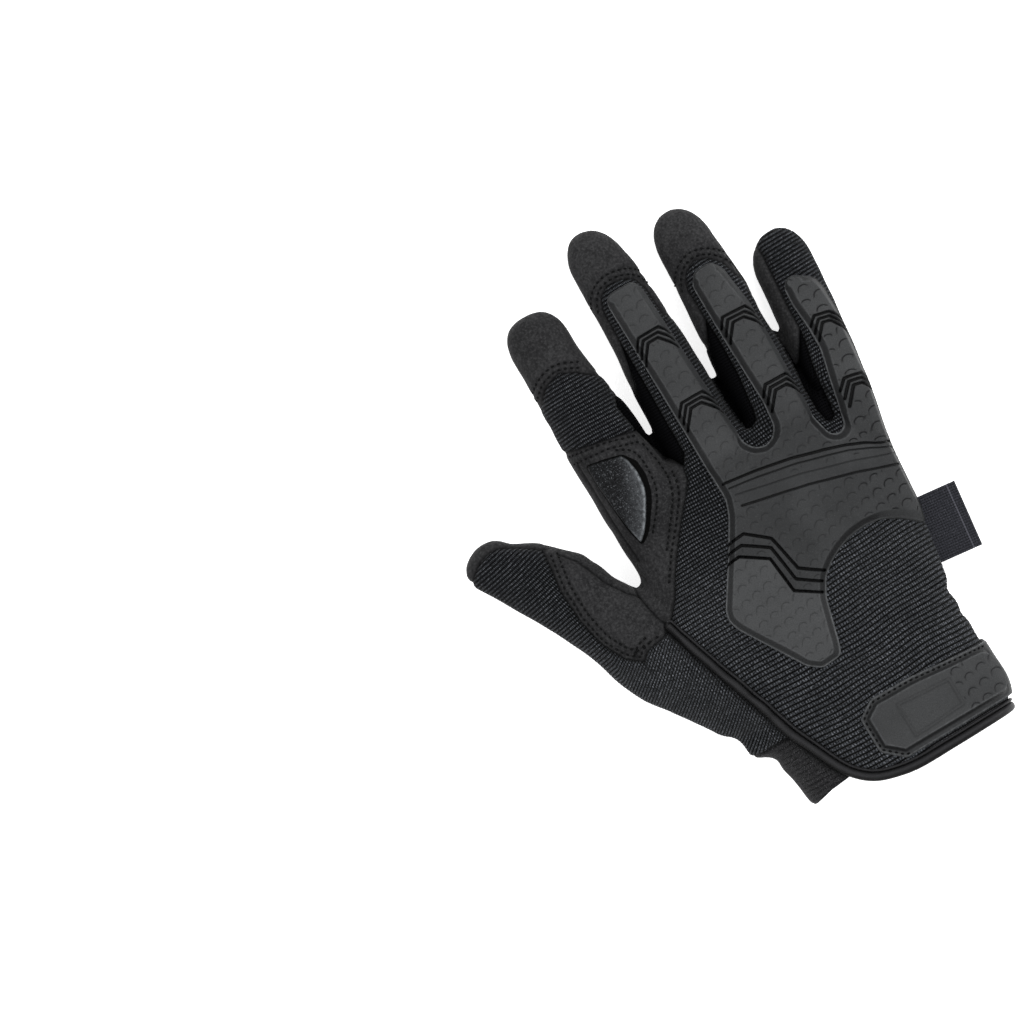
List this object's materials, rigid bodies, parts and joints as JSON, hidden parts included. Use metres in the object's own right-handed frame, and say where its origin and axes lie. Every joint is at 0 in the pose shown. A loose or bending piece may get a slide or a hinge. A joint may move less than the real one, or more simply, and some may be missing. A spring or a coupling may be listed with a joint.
{
  "type": "tactical glove",
  "caption": "Open, hollow work glove for the right hand with a moulded knuckle guard, padded palm, knit thumb and a wrist strap, lying palm down.",
  "frame": {"origin": "on the ground under the middle of the glove, which lies palm down", "axes": "+Y to the fingertips, +X to the little finger's side, +Z out of the back of the hand"},
  "size_m": [0.1811, 0.246, 0.0383],
  "materials": {
    "knit": "ribbed knit, matt",
    "suede": "synthetic suede, matt",
    "mesh": "fine open mesh, matt",
    "grip": "pebbled synthetic leather, slight gloss",
    "rubber": "moulded rubber, satin",
    "satin": "satin binding tape",
    "webbing": "loop fabric on elastic",
    "woven": "woven label"
  },
  "bodies": {
    "root": {"back_panel": "knit", "index_side_panel": "suede", "index_back_knit": "knit", "index_cap": "suede", "middle_cap": "suede", "ring_cap": "suede", "fourchette_index_middle": "mesh", "fourchette_middle_ring": "mesh", "fourchette_ring_little": "mesh", "thumb_crotch_patch": "suede", "thumb_back": "knit", "palm_panel": "suede", "index_palm_tip": "suede", "thumb_palm_tip": "suede", "loop_band": "webbing", "grip_patch": "grip", "thenar_pad": "suede", "hypothenar_pad": "suede", "index_knuckle_pad": "rubber", "knuckle_guard": "rubber", "wrist_strap": "rubber", "cuff_binding": "satin", "side_label": "woven"}
  },
  "joints": []
}
